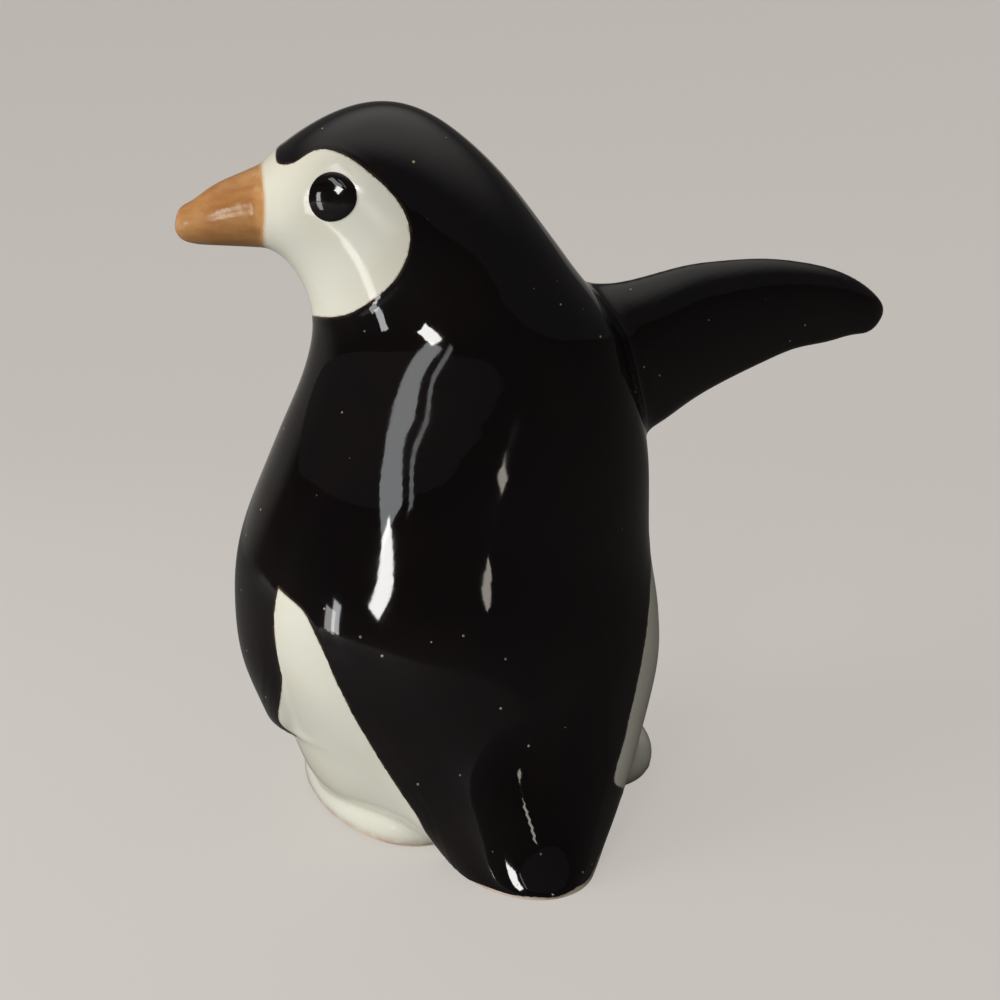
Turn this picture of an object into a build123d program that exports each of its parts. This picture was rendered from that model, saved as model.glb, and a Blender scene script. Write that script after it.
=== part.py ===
from build123d import *
import os
from math import cos, radians, sin

# Penguin figurine: a small hollow cast and glazed ceramic ornament, in millimetres.
# It stands on its flat base and faces -Y, so its left side is +X.
# The origin lies on the base, under the middle of the body.
# Each clay piece stops one glaze thickness short of the finished surface, and the
# glaze coats fill that thickness as thin shells of their own.

# Clay and glaze
glaze = 0.3               # thickness of every glaze coat
wall = 2.6                # clay wall of the hollow castings
bare_rim = 0.8            # strip left free of glaze above the base

# Body casting
neck_height = 45.0        # base to the joint under the head
body_width = 39.4         # widest across the flanks
body_depth = 31.2         # widest from belly to back
neck_width = 28.95        # long way of the oval neck joint
neck_depth = 19.2         # short way of the oval neck joint
vent_radius = 1.75        # hole in the base that lets the kiln's heat out of the hollow
vent_forward = 7.5        # from the origin to the middle of that hole

# Head, turned to the figure's left
head_turn = 68.0          # degrees from straight ahead
throat_share = 0.133      # radius of the throat's curve, as a share of the reach to the nape
beak_length = 8.4         # edge of the face to the beak's tip
beak_tip = 0.7            # width of the beak's blunt end

# Tail, a wedge that runs down the back to the base
tail_width = 36.0         # where it spreads into the back
tail_depth = 19.6         # front to back of its oval sections
tail_height = 28.0        # where it has sunk into the back
tail_setback = 13.6       # from the origin back to the middle of its foot

# Raised right flipper
wing_reach = 43.8         # body axis to tip
wing_height = 15.2        # of its root
wing_thickness = 7.2      # of its root
wing_level = 52.7         # highest point of its top edge
wing_sweep = 10.0         # degrees that it is swept back

# Lowered left flipper
arm_top = 45.0            # height of the shoulder
arm_drop = 37.0           # shoulder to tip
arm_width = 12.6          # front to back
arm_thickness = 6.6       # through the blade, most of it sunk into the flank
arm_out = 19.8            # body axis to the middle of the blade

# Feet
foot_height = 3.1
foot_round = 2.2          # rounding of a foot's upper edge
left_foot_width = 15.2
left_foot_length = 30.4
left_foot_out = 7.8       # from the origin to the left
right_foot_width = 18.8
right_foot_length = 28.0
right_foot_out = 13.0     # from the origin to the right
left_foot_forward = 3.2   # from the origin to the middle of the foot
right_foot_forward = 6.5

# Eyes
eye_width = 3.8
eye_bulge = 0.35          # how far an eye stands proud of the face
eye_back = 7.5            # from the edge of the beak towards the nape
eye_up = 12.2             # above the neck joint

# Places below are shares of the sizes above, with one row for each section.
# Body: height, middle in x and in y, width, depth, twist towards the head.
body_shares = [
    (0.000, -0.032, -0.013, 0.735, 0.769, 0.0),
    (0.067, -0.032, -0.014, 0.855, 0.897, 0.0),
    (0.178, -0.006, -0.012, 0.906, 0.974, 0.0),
    (0.333, 0.025, -0.004, 0.958, 1.000, 0.0),
    (0.489, 0.032, 0.010, 0.986, 0.962, 0.0),
    (0.644, 0.018, 0.028, 0.982, 0.885, 0.05),
    (0.778, 0.005, 0.039, 0.904, 0.788, 0.37),
    (0.889, 0.003, 0.044, 0.822, 0.699, 0.69),
]
neck_shift_shares = (-0.002, 0.042)
# Head: turn about the throat, inner and outer reach from it, depth.
head_shares = [
    (0.000, throat_share, 1.000, 1.000),
    (0.167, 0.142, 0.868, 0.979),
    (0.333, 0.157, 0.807, 0.958),
    (0.500, 0.177, 0.778, 0.938),
    (0.667, 0.198, 0.734, 0.906),
    (0.833, 0.225, 0.610, 0.770),
    (1.000, 0.250, 0.479, 0.417),
]
head_hollow_rows = 5      # sections that the hollow follows before it closes
hollow_end_shares = (0.760, 0.500)
# Beak: way along it, lower and upper edge, depth.
beak_shares = [
    (0.300, 0.013, 0.863, 0.850),
    (0.595, 0.026, 0.712, 0.675),
    (0.833, 0.052, 0.556, 0.500),
    (0.952, 0.124, 0.451, 0.325),
]
beak_tip_share = 0.245
# Tail: height, middle in x and in y, width, depth.
tail_shares = [
    (0.000, 0.024, 1.130, 0.368, 0.949),
    (0.179, -0.015, 0.835, 0.582, 0.990),
    (0.357, -0.022, 0.676, 0.760, 0.980),
    (0.571, -0.006, 0.544, 0.933, 1.000),
    (0.786, 0.017, 0.412, 1.000, 1.010),
    (1.000, 0.028, 0.250, 0.889, 1.020),
]
# Right flipper: way along it, top edge below its highest point, height, thickness.
wing_shares = [
    (0.250, 0.158, 0.860, 0.900),
    (0.340, 0.160, 0.960, 1.000),
    (0.428, 0.105, 1.000, 0.960),
    (0.510, 0.046, 0.912, 0.820),
    (0.600, 0.013, 0.800, 0.690),
    (0.695, 0.000, 0.690, 0.600),
    (0.787, 0.020, 0.570, 0.540),
    (0.868, 0.066, 0.480, 0.480),
    (0.933, 0.141, 0.362, 0.400),
    (0.977, 0.230, 0.234, 0.280),
    (1.000, 0.296, 0.086, 0.110),
]
# Left flipper: way down it, middle out and back, width, thickness.
arm_shares = [
    (0.000, 0.440, 0.000, 0.500, 0.600),
    (0.130, 0.625, -0.020, 0.760, 0.880),
    (0.300, 0.790, -0.040, 0.960, 0.980),
    (0.486, 0.930, -0.060, 1.000, 0.960),
    (0.660, 0.985, -0.080, 0.960, 0.850),
    (0.819, 0.975, -0.080, 0.820, 0.720),
    (0.930, 0.930, -0.080, 0.580, 0.550),
    (0.984, 0.905, -0.080, 0.300, 0.340),
    (1.000, 0.900, -0.080, 0.120, 0.160),
]
# Front edge of the black back, from the side: back over half the depth, up over the neck height.
back_edge_shares = [
    (0.62, -0.10), (0.63, 0.02), (0.70, 0.13), (0.64, 0.24), (0.56, 0.33), (0.44, 0.44),
    (0.20, 0.56), (-0.10, 0.68), (-0.40, 0.79), (-0.80, 0.90), (-1.40, 0.955),
]
back_edge_turn = 4.0      # degrees that this edge is turned to the figure's left
# Edge of the white face, from the side: towards the nape and up, over the reach of the head.
face_edge_shares = [
    (0.039, 0.650), (0.039, 0.488), (0.090, 0.470), (0.183, 0.491), (0.320, 0.434), (0.410, 0.320),
    (0.425, 0.257), (0.383, 0.159), (0.329, 0.111), (0.228, 0.063), (0.159, 0.057), (-0.060, 0.057),
]

# Ways and places that the pieces share
neck_turn = 90.0 - head_turn
beak_way = Vector(sin(radians(head_turn)), -cos(radians(head_turn)), 0)
nape_way = beak_way * -1
up = Vector(0, 0, 1)
across_way = nape_way.cross(up)
wing_way = Vector(-cos(radians(wing_sweep)), sin(radians(wing_sweep)), 0)
neck_middle = Vector(neck_shift_shares[0] * body_width, neck_shift_shares[1] * body_depth, neck_height)
head_reach = neck_width / (1 - throat_share)
pivot = neck_middle + beak_way * (head_reach * (1 + throat_share) / 2)
side_plane = Plane(origin=pivot, x_dir=nape_way, z_dir=across_way)
root_low, root_high, root_depth_share = head_shares[-1][1:]
beak_root_height = (root_high - root_low) * head_reach
beak_root_depth = root_depth_share * neck_depth


def oval_loft(sections):
    """A solid through ovals, each given by its middle, its two ways and its two half sizes."""
    with BuildPart() as form:
        for middle, x_way, facing, half_x, half_y in sections:
            with BuildSketch(Plane(origin=middle, x_dir=x_way, z_dir=facing)):
                Circle(1)
                scale(by=(half_x, half_y, 1))
        loft()
    return form.part


def body_form(inset):
    """The body from the base to the neck, drawn in by inset."""
    sections = []
    for height, shift_x, shift_y, width, depth, twist in body_shares:
        middle = Vector(shift_x * body_width, shift_y * body_depth, height * neck_height)
        turn = radians(-twist * neck_turn)
        half_sizes = (width * body_width / 2 - inset, depth * body_depth / 2 - inset)
        sections.append((middle, Vector(cos(turn), sin(turn), 0), up, *half_sizes))
    sections.append((neck_middle, beak_way, up, neck_width / 2 - inset, neck_depth / 2 - inset))
    return oval_loft(sections)


def tail_form(inset):
    """The tail wedge, drawn in by inset."""
    sections = []
    for height, shift_x, shift_y, width, depth in tail_shares:
        middle = Vector(shift_x * tail_width, shift_y * tail_setback, height * tail_height)
        half_sizes = (width * tail_width / 2 - inset, depth * tail_depth / 2 - inset)
        sections.append((middle, Vector(1, 0, 0), up, *half_sizes))
    return oval_loft(sections)


def head_section(row, inset):
    """One oval of the head, square to the curve round the throat."""
    turn, inner, outer, depth = row
    angle = radians(90 * turn)
    radial = nape_way * cos(angle) + up * sin(angle)
    along = beak_way * sin(angle) + up * cos(angle)
    middle = pivot + radial * ((inner + outer) / 2 * head_reach)
    return (middle, radial, along, (outer - inner) / 2 * head_reach - inset, depth * neck_depth / 2 - inset)


def head_form(inset):
    """The head from the neck round to the root of the beak, drawn in by inset."""
    return oval_loft([head_section(row, inset) for row in head_shares])


def head_hollow():
    """The space inside the head, which opens into the body."""
    inset = glaze + wall
    sections = [head_section(row, inset) for row in head_shares[:head_hollow_rows]]
    end_turn, end_size = hollow_end_shares
    last = head_shares[head_hollow_rows - 1]
    middle, radial, along, half_x, half_y = head_section((end_turn, *last[1:]), inset)
    sections.append((middle, radial, along, half_x * end_size, half_y * end_size))
    return oval_loft(sections)


def beak_form(inset):
    """The beak from its root to its blunt tip, drawn in by inset at the root."""
    thinner = 1 - inset / (beak_root_depth / 2)
    middle, root_up, root_facing, root_half_height, root_half_depth = head_section(head_shares[-1], inset)
    sections = [(middle, root_up, root_facing, root_half_height, root_half_depth)]
    for along, lower, upper, depth in beak_shares:
        rise = ((lower + upper) / 2 - 1 / 2) * beak_root_height
        place = middle + (beak_way * (along * beak_length) + up * rise) * thinner
        half_sizes = ((upper - lower) / 2 * beak_root_height * thinner, depth * beak_root_depth / 2 * thinner)
        sections.append((place, up, beak_way, *half_sizes))
    tip = middle + (beak_way * beak_length + up * ((beak_tip_share - 1 / 2) * beak_root_height)) * thinner
    sections.append((tip, up, beak_way, beak_tip / 2 * thinner, beak_tip / 2 * thinner))
    return oval_loft(sections)


def wing_form(inset):
    """The raised right flipper from inside the body to its tip, drawn in by inset."""
    sections = []
    for along, drop, height, thickness in wing_shares:
        level = wing_level - (drop + height / 2) * wing_height
        middle = wing_way * (along * (wing_reach - inset)) + up * level
        sections.append((middle, up, wing_way, *thinned(height * wing_height, thickness * wing_thickness, inset)))
    return oval_loft(sections)


def arm_form(inset):
    """The lowered left flipper from inside the shoulder to its tip, drawn in by inset."""
    sections = []
    for down, out, back, width, thickness in arm_shares:
        middle = Vector(out * arm_out, back * arm_width, arm_top - down * (arm_drop - inset))
        across, front_to_back = thinned(thickness * arm_thickness, width * arm_width, inset)
        sections.append((middle, Vector(1, 0, 0), up * -1, across, front_to_back))
    return oval_loft(sections)


def thinned(size_x, size_y, inset):
    """Half sizes of an oval drawn in by inset, and near a tip by half its size at most."""
    return tuple(size / 2 - min(inset, size / 4) for size in (size_x, size_y))


def foot_form(width, length, out, forward, inset):
    """A foot: a low oval pad with a rounded upper edge, drawn in by inset."""
    with BuildPart() as pad:
        with BuildSketch(Plane(origin=(out, -forward, 0))):
            Circle(1)
            scale(by=(width / 2 - inset, length / 2 - inset, 1))
        extrude(amount=foot_height - inset)
        fillet(pad.faces().sort_by(Axis.Z)[-1].edges(), radius=foot_round)
    return pad.part


left_foot_sizes = (left_foot_width, left_foot_length, left_foot_out, left_foot_forward)
right_foot_sizes = (right_foot_width, right_foot_length, -right_foot_out, right_foot_forward)

body_skin = body_form(0) + tail_form(0)
body_clay = body_form(glaze) + tail_form(glaze)
head_skin = head_form(0)
head_clay = head_form(glaze)
wing_skin = wing_form(0)
wing_clay = wing_form(glaze)
arm_skin = arm_form(0)
arm_clay = arm_form(glaze)

# Shapes that divide the black glaze from the white
edge_way = Vector(0, 1, 0).rotate(Axis.Z, back_edge_turn)
whole_width = 2 * wing_reach
whole_height = neck_height + head_reach
back_edge = [(back * body_depth / 2, height * neck_height) for back, height in back_edge_shares]
with BuildPart() as back_zone:
    with BuildSketch(Plane(origin=(0, 0, 0), x_dir=edge_way, z_dir=edge_way.cross(up))):
        with BuildLine():
            Spline(*back_edge)
            Polyline(back_edge[-1], (back_edge[-1][0], whole_height), (whole_width, whole_height),
                     (whole_width, back_edge[0][1]), back_edge[0])
        make_face()
    extrude(amount=whole_width, both=True)

face_edge = [(back * head_reach, height * head_reach) for back, height in face_edge_shares]
with BuildPart() as face_zone:
    with BuildSketch(side_plane):
        with BuildLine():
            Spline(*face_edge[1:-1])
            Polyline(face_edge[-2], face_edge[-1], (face_edge[-1][0], face_edge[0][1]), face_edge[0], face_edge[1])
        make_face()
    extrude(amount=whole_width, both=True)

# Clay pieces
with BuildPart() as body_hollow:
    add(body_form(glaze + wall))
    split(bisect_by=Plane.XY.offset(wall), keep=Keep.TOP)

with BuildPart() as body_casting:
    add(body_clay)
    add(body_hollow.part, mode=Mode.SUBTRACT)
    with BuildSketch(Plane(origin=(0, -vent_forward, 0))):
        Circle(vent_radius)
    extrude(amount=wall + glaze, both=True, mode=Mode.SUBTRACT)
body_casting.part.label = "body_casting"

with BuildPart() as head_casting:
    add(head_clay)
    add(head_hollow(), mode=Mode.SUBTRACT)
    add(beak_form(glaze))
head_casting.part.label = "head_casting"

with BuildPart() as right_flipper:
    add(wing_clay)
    add(body_clay, mode=Mode.SUBTRACT)
    add(head_clay, mode=Mode.SUBTRACT)
right_flipper.part.label = "right_flipper"

with BuildPart() as left_flipper:
    add(arm_clay)
    add(body_clay, mode=Mode.SUBTRACT)
left_flipper.part.label = "left_flipper"

with BuildPart() as left_foot:
    add(foot_form(*left_foot_sizes, glaze))
    add(body_clay, mode=Mode.SUBTRACT)
left_foot.part.label = "left_foot"

with BuildPart() as right_foot:
    add(foot_form(*right_foot_sizes, glaze))
    add(body_clay, mode=Mode.SUBTRACT)
right_foot.part.label = "right_foot"

# Glaze coats
with BuildPart() as body_coat:
    add(body_skin)
    add(body_clay, mode=Mode.SUBTRACT)
    split(bisect_by=Plane.XY.offset(bare_rim), keep=Keep.TOP)

with BuildPart() as back_glaze:
    add(body_coat.part)
    add(back_zone.part, mode=Mode.INTERSECT)
    add(wing_clay, mode=Mode.SUBTRACT)
    add(arm_clay, mode=Mode.SUBTRACT)
    add(left_foot.part, mode=Mode.SUBTRACT)
back_glaze.part.label = "back_glaze"

with BuildPart() as belly_glaze:
    add(body_coat.part)
    add(back_zone.part, mode=Mode.SUBTRACT)
    add(arm_clay, mode=Mode.SUBTRACT)
    add(left_foot.part, mode=Mode.SUBTRACT)
    add(right_foot.part, mode=Mode.SUBTRACT)
belly_glaze.part.label = "belly_glaze"

with BuildPart() as hood_glaze:
    add(head_skin)
    add(head_clay, mode=Mode.SUBTRACT)
    add(face_zone.part, mode=Mode.SUBTRACT)
    add(wing_clay, mode=Mode.SUBTRACT)
hood_glaze.part.label = "hood_glaze"

with BuildPart() as face_glaze:
    add(head_skin)
    add(head_clay, mode=Mode.SUBTRACT)
    add(face_zone.part, mode=Mode.INTERSECT)
face_glaze.part.label = "face_glaze"

with BuildPart() as beak_glaze:
    add(beak_form(0))
    add(beak_form(glaze), mode=Mode.SUBTRACT)
beak_glaze.part.label = "beak_glaze"

with BuildPart() as right_flipper_glaze:
    add(wing_skin)
    add(body_skin, mode=Mode.SUBTRACT)
    add(head_skin, mode=Mode.SUBTRACT)
    add(wing_clay, mode=Mode.SUBTRACT)
right_flipper_glaze.part.label = "right_flipper_glaze"

with BuildPart() as left_flipper_glaze:
    add(arm_skin)
    add(arm_clay, mode=Mode.SUBTRACT)
    add(body_skin, mode=Mode.SUBTRACT)
left_flipper_glaze.part.label = "left_flipper_glaze"

with BuildPart() as left_foot_glaze:
    add(foot_form(*left_foot_sizes, 0))
    add(foot_form(*left_foot_sizes, glaze), mode=Mode.SUBTRACT)
    add(body_skin, mode=Mode.SUBTRACT)
    split(bisect_by=Plane.XY.offset(bare_rim), keep=Keep.TOP)
left_foot_glaze.part.label = "left_foot_glaze"

with BuildPart() as right_foot_glaze:
    add(foot_form(*right_foot_sizes, 0))
    add(foot_form(*right_foot_sizes, glaze), mode=Mode.SUBTRACT)
    add(body_skin, mode=Mode.SUBTRACT)
    split(bisect_by=Plane.XY.offset(bare_rim), keep=Keep.TOP)
right_foot_glaze.part.label = "right_foot_glaze"

# Eyes, one dot of black glaze on each side of the face
with BuildPart() as right_eye:
    add(head_form(-eye_bulge))
    with BuildSketch(side_plane):
        with Locations((eye_back, eye_up)):
            Circle(eye_width / 2)
    extrude(amount=neck_depth, mode=Mode.INTERSECT)
    add(head_skin, mode=Mode.SUBTRACT)
right_eye.part.label = "right_eye"

with BuildPart() as left_eye:
    add(head_form(-eye_bulge))
    with BuildSketch(side_plane):
        with Locations((eye_back, eye_up)):
            Circle(eye_width / 2)
    extrude(amount=-neck_depth, mode=Mode.INTERSECT)
    add(head_skin, mode=Mode.SUBTRACT)
left_eye.part.label = "left_eye"

os.makedirs("parts", exist_ok=True)
pieces = [
    body_casting, head_casting, right_flipper, left_flipper, left_foot, right_foot,
    back_glaze, belly_glaze, hood_glaze, face_glaze, beak_glaze,
    right_flipper_glaze, left_flipper_glaze, left_foot_glaze, right_foot_glaze, right_eye, left_eye,
]
for piece in pieces:
    export_step(piece.part, f"parts/{piece.part.label}.step")
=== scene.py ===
"""Penguin figurine: fired clay under glossy brushed glazes, on a plain pale studio floor."""

from math import cos, pi, radians, sin

import bpy
import numpy as np
from mathutils import Matrix, Vector
from mathutils.kdtree import KDTree


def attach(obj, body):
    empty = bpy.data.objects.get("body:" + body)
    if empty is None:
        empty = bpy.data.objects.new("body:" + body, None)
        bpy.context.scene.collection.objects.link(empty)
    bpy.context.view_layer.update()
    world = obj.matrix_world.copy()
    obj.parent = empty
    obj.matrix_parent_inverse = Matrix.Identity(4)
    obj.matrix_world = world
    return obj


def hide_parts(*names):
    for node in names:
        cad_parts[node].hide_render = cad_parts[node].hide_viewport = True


bl_info = {
    "name": "Penguin Figurine",
    "version": (1, 0, 0),
    "blender": (4, 5, 0),
    "location": "View3D > Sidebar > Figurine",
    "description": "Builds the glazed penguin figurine round its clay pieces",
    "category": "Add Mesh",
}

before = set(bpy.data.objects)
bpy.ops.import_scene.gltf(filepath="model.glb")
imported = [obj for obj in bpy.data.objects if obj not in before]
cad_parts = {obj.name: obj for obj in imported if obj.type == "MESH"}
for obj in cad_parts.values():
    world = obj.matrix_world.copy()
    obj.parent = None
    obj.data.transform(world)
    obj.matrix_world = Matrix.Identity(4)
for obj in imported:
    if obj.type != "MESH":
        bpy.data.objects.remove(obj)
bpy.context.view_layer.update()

MM = 0.001
UP = np.array([0.0, 0.0, 1.0])

# Sizes of the form in millimetres, as the clay pieces have them
NECK_HEIGHT = 45.0
BODY_WIDTH = 39.4
BODY_DEPTH = 31.2
NECK_WIDTH = 28.95
NECK_DEPTH = 19.2
HEAD_TURN = radians(68.0)
THROAT_SHARE = 0.133
BEAK_LENGTH = 8.4
BEAK_TIP = 0.7
TAIL_WIDTH = 36.0
TAIL_DEPTH = 19.6
TAIL_HEIGHT = 28.0
TAIL_SETBACK = 13.6
WING_REACH = 43.8
WING_HEIGHT = 15.2
WING_THICKNESS = 7.2
WING_LEVEL = 52.7
WING_SWEEP = radians(10.0)
ARM_TOP = 45.0
ARM_DROP = 37.0
ARM_WIDTH = 12.6
ARM_THICKNESS = 6.6
ARM_OUT = 19.8
FOOT_HEIGHT = 3.1
FOOT_ROUND = 2.2
LEFT_FOOT = (7.8, -3.2, 15.2, 30.4)       # middle in x and y, width, length
RIGHT_FOOT = (-13.0, -6.5, 18.8, 28.0)
EYE_WIDTH = 4.15
EYE_BACK = 7.5
EYE_UP = 12.2

# Body: height, middle in x and in y, width, depth, twist towards the head
BODY_SHARES = [
    (0.000, -0.032, -0.013, 0.735, 0.769, 0.0),
    (0.067, -0.032, -0.014, 0.855, 0.897, 0.0),
    (0.178, -0.006, -0.012, 0.906, 0.974, 0.0),
    (0.333, 0.025, -0.004, 0.958, 1.000, 0.0),
    (0.489, 0.032, 0.010, 0.986, 0.962, 0.0),
    (0.644, 0.018, 0.028, 0.982, 0.885, 0.05),
    (0.778, 0.005, 0.039, 0.904, 0.788, 0.37),
    (0.889, 0.003, 0.044, 0.822, 0.699, 0.69),
    (1.000, -0.002, 0.042, NECK_WIDTH / BODY_WIDTH, NECK_DEPTH / BODY_DEPTH, 1.0),
]
# Head: turn about the throat, inner and outer reach from it, depth
HEAD_SHARES = [
    (0.000, THROAT_SHARE, 1.000, 1.000),
    (0.167, 0.142, 0.868, 0.979),
    (0.333, 0.157, 0.807, 0.958),
    (0.500, 0.177, 0.778, 0.938),
    (0.667, 0.198, 0.733, 0.906),
    (0.833, 0.225, 0.605, 0.770),
    (1.000, 0.250, 0.479, 0.417),
]
# Beak: way along it, lower and upper edge, depth
BEAK_SHARES = [
    (0.000, 0.000, 1.000, 1.000),
    (0.300, 0.013, 0.863, 0.850),
    (0.595, 0.026, 0.712, 0.675),
    (0.833, 0.052, 0.540, 0.500),
    (0.952, 0.124, 0.418, 0.325),
    (1.000, 0.190, 0.290, 0.100),
]
# Tail: height, middle in x and in y, width, depth
TAIL_SHARES = [
    (0.000, 0.024, 1.130, 0.368, 0.949),
    (0.179, -0.015, 0.835, 0.582, 0.990),
    (0.357, -0.022, 0.676, 0.760, 0.980),
    (0.571, -0.006, 0.544, 0.933, 1.000),
    (0.786, 0.017, 0.412, 1.000, 1.010),
    (1.000, 0.028, 0.250, 0.889, 1.020),
    (1.250, 0.032, 0.030, 0.740, 1.000),
]
# Right flipper: way along it, top edge below its highest point, height, thickness
WING_SHARES = [
    (0.250, 0.158, 0.860, 0.900),
    (0.340, 0.160, 0.960, 1.000),
    (0.428, 0.105, 1.000, 0.960),
    (0.510, 0.046, 0.912, 0.820),
    (0.600, 0.013, 0.800, 0.690),
    (0.695, 0.000, 0.690, 0.600),
    (0.787, 0.020, 0.570, 0.540),
    (0.868, 0.066, 0.480, 0.480),
    (0.933, 0.141, 0.362, 0.400),
    (0.977, 0.230, 0.234, 0.280),
    (1.000, 0.296, 0.086, 0.110),
]
# Left flipper: way down it, middle out and back, width, thickness
ARM_SHARES = [
    (0.000, 0.440, 0.000, 0.500, 0.600),
    (0.130, 0.625, -0.020, 0.760, 0.880),
    (0.300, 0.790, -0.040, 0.960, 0.980),
    (0.486, 0.930, -0.060, 1.000, 0.960),
    (0.660, 0.985, -0.080, 0.960, 0.850),
    (0.819, 0.975, -0.080, 0.820, 0.720),
    (0.930, 0.930, -0.080, 0.580, 0.550),
    (0.984, 0.905, -0.080, 0.300, 0.340),
    (1.000, 0.900, -0.080, 0.120, 0.160),
]
# Front edge of the black back on each flank, measured on the photo: height above the base and way back
LEFT_BACK_EDGE = [
    (-3.0, 14.8), (0.0, 14.7), (4.4, 14.5), (5.8, 13.9), (8.6, 13.3), (11.8, 12.9), (15.2, 12.4),
    (18.5, 11.5), (20.0, 10.9), (21.6, 10.0), (22.8, 9.1), (23.7, 6.1), (25.8, 3.1), (31.0, -1.6),
    (35.5, -6.2), (40.5, -12.5), (43.0, -21.8),
]
RIGHT_BACK_EDGE = [
    (-3.0, 10.0), (0.0, 11.5), (2.0, 13.4), (4.0, 16.2), (6.2, 18.9), (7.6, 18.1), (9.5, 17.0),
    (12.4, 15.8), (14.2, 15.1), (16.7, 14.0), (19.9, 12.3), (21.9, 10.8), (23.9, 8.2), (31.0, -1.6),
    (35.5, -6.2), (40.5, -12.5), (43.0, -21.8),
]
EDGES_MEET = 3.0            # half width of the strip in which one flank's edge turns into the other's
# Back edge of the left flipper, measured the same way
FLIPPER_EDGE = [
    (0.0, 0.0), (9.5, 1.4), (10.5, 2.0), (11.8, 3.0), (13.8, 4.3), (17.3, 6.4), (20.3, 7.1),
    (21.9, 7.5), (23.3, 7.9), (24.3, 9.9), (28.0, 13.0), (45.0, 20.0),
]
FLIPPER_EDGE_REACH = 0.9    # how far the flipper's black runs on over the flank behind it
# Edge of the white face, from the side: towards the nape and up, over the reach of the head
FACE_EDGE_SHARES = [
    (-0.060, 0.540), (0.020, 0.545), (0.055, 0.500), (0.070, 0.460), (0.098, 0.452), (0.135, 0.461),
    (0.165, 0.479), (0.203, 0.485), (0.245, 0.474), (0.289, 0.449), (0.335, 0.411), (0.377, 0.372),
    (0.410, 0.320), (0.422, 0.262), (0.408, 0.203), (0.374, 0.150), (0.327, 0.112), (0.256, 0.073),
    (0.202, 0.062), (0.130, 0.064), (-0.060, 0.060),
]

CLAY_NODES = ("body_casting", "head_casting", "right_flipper", "left_flipper", "left_foot", "right_foot")
# The block of points that the skin is found in, and the coats that its faces are divided into
GRID_LOW = (-44.5, -23.0, -1.5)
GRID_HIGH = (26.5, 26.5, 68.0)
ZONES = {
    "back_coat": 0, "belly_coat": 1, "hood_coat": 2, "face_coat": 3, "beak_coat": 4,
    "right_flipper_coat": 5, "left_flipper_coat": 6, "left_foot_coat": 7, "right_foot_coat": 8,
}
DROPPED = 9
BLACK_COATS = ("back_coat", "hood_coat", "right_flipper_coat", "left_flipper_coat")
WHITE_COATS = ("belly_coat", "face_coat", "left_foot_coat", "right_foot_coat")
ORANGE_COATS = ("beak_coat",)
# The orange's edge: how far it bows, and the middle and half height of the bow over the head's reach
BEAK_BOW = 0.97
BEAK_MIDDLE_SHARE = 0.37
BEAK_BOW_SHARE = 0.115
# Unevenness of the bare rim's edge: its size, then waves round the base, start and share of each
RIM_WAVE = 0.07
RIM_WAVES = [(7, 0, 1.0), (17, 1, 1.0), (41, 2, 0.6)]
# How the glaze thins towards the bare rim: by how much, and how far up
RIM_THINNING = 0.14
RIM_THINNING_REACH = 0.35
# Where the surface is built up or taken down by hand: place, reach and how much
THICKENED = [
    ((13.6, -2.0, 44.0), 6.0, 0.17),
    ((-16.3, 9.5, 19.1), 5.0, 0.22),
    ((3.5, 20.0, 6.2), 4.0, 0.75),
    ((10.4, -2.7, 66.0), 4.5, 0.16),
    ((-12.8, 8.3, 0.5), 2.5, 0.16),
    ((-4.5, 22.0, 1.5), 4.0, -0.20),
]
# Where the wider fillet between back and tail sets in: from and to, across and up
WIDE_ACROSS = (-6.0, 2.0)
WIDE_UP = (-2.0, 4.0)
# Where the tail fades into the back, and how far its surface is drawn in by then
TAIL_FADE = (21.0, 34.0)
TAIL_FADE_DEPTH = 9.0
# Smoothing of the neck: its middle above the joint, half heights of all, of none and of what is worked on
NECK_SMOOTH_RISE = 0.5
NECK_SMOOTH_FULL = 3.0
NECK_SMOOTH_END = 9.0
NECK_WINDOW = 11.0
NECK_SMOOTH_SIDE = (-13.0, -7.0)  # from the raised flipper's root to where the neck is fully smoothed
# Evening of the back: heights worked on, from none to all at both ends and in depth, and the make-up
BACK_WINDOW = (11.0, 39.0)
BACK_LOW_END = (12.0, 19.0)
BACK_HIGH_END = (38.0, 29.0)
BACK_FRONT = (1.0, 7.0)
BACK_MAKE_UP = 0.24
# Ways in radians per millimetre and starts of the long waves in the brushed glaze
GLAZE_WAVES = [
    ((0.55, 0.20, 0.35), 0.3), ((-0.30, 0.62, 0.22), 1.9), ((0.18, -0.35, 0.71), 4.1),
    ((0.95, 0.40, -0.60), 2.6), ((-0.70, 0.85, 0.90), 5.2),
]
# Ridges that the brush left along the edge of the black: way in from it, half width, share of the bead
EDGE_RIDGES = [(0.35, 0.30, 1.0), (1.05, 0.26, 0.75), (2.10, 0.30, 0.60)]
# Where the ridges are strong, from none to all across and down, and the first one's share elsewhere
RIDGES_ACROSS = (0.0, 4.0)
RIDGES_DOWN = (20.0, 14.0)
FIRST_RIDGE_SHARE = 0.4
# Eye dots: depth of the seat, height of the dome, then waves round the outline, height and start of each
EYE_SEAT = 0.03
EYE_DOME = 0.32
EYE_WAVES = [(2, 0.025, 0.6), (3, 0.015, 2.0)]
SPECK_FLATNESS = 0.2
SPECK_SEED = 11

# Studio, in metres: where the backdrop sets in in reflections, its strength there, and where the sky does
FAR_SIDE = (-0.40, -0.15)
FAR_SIDE_LEVEL = 0.5
SKY_START = 0.62
# Camera: width of its frame in millimetres, and the nearest distance in metres that it shows
SENSOR_WIDTH = 36.0
NEAREST_SEEN = 0.005
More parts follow.
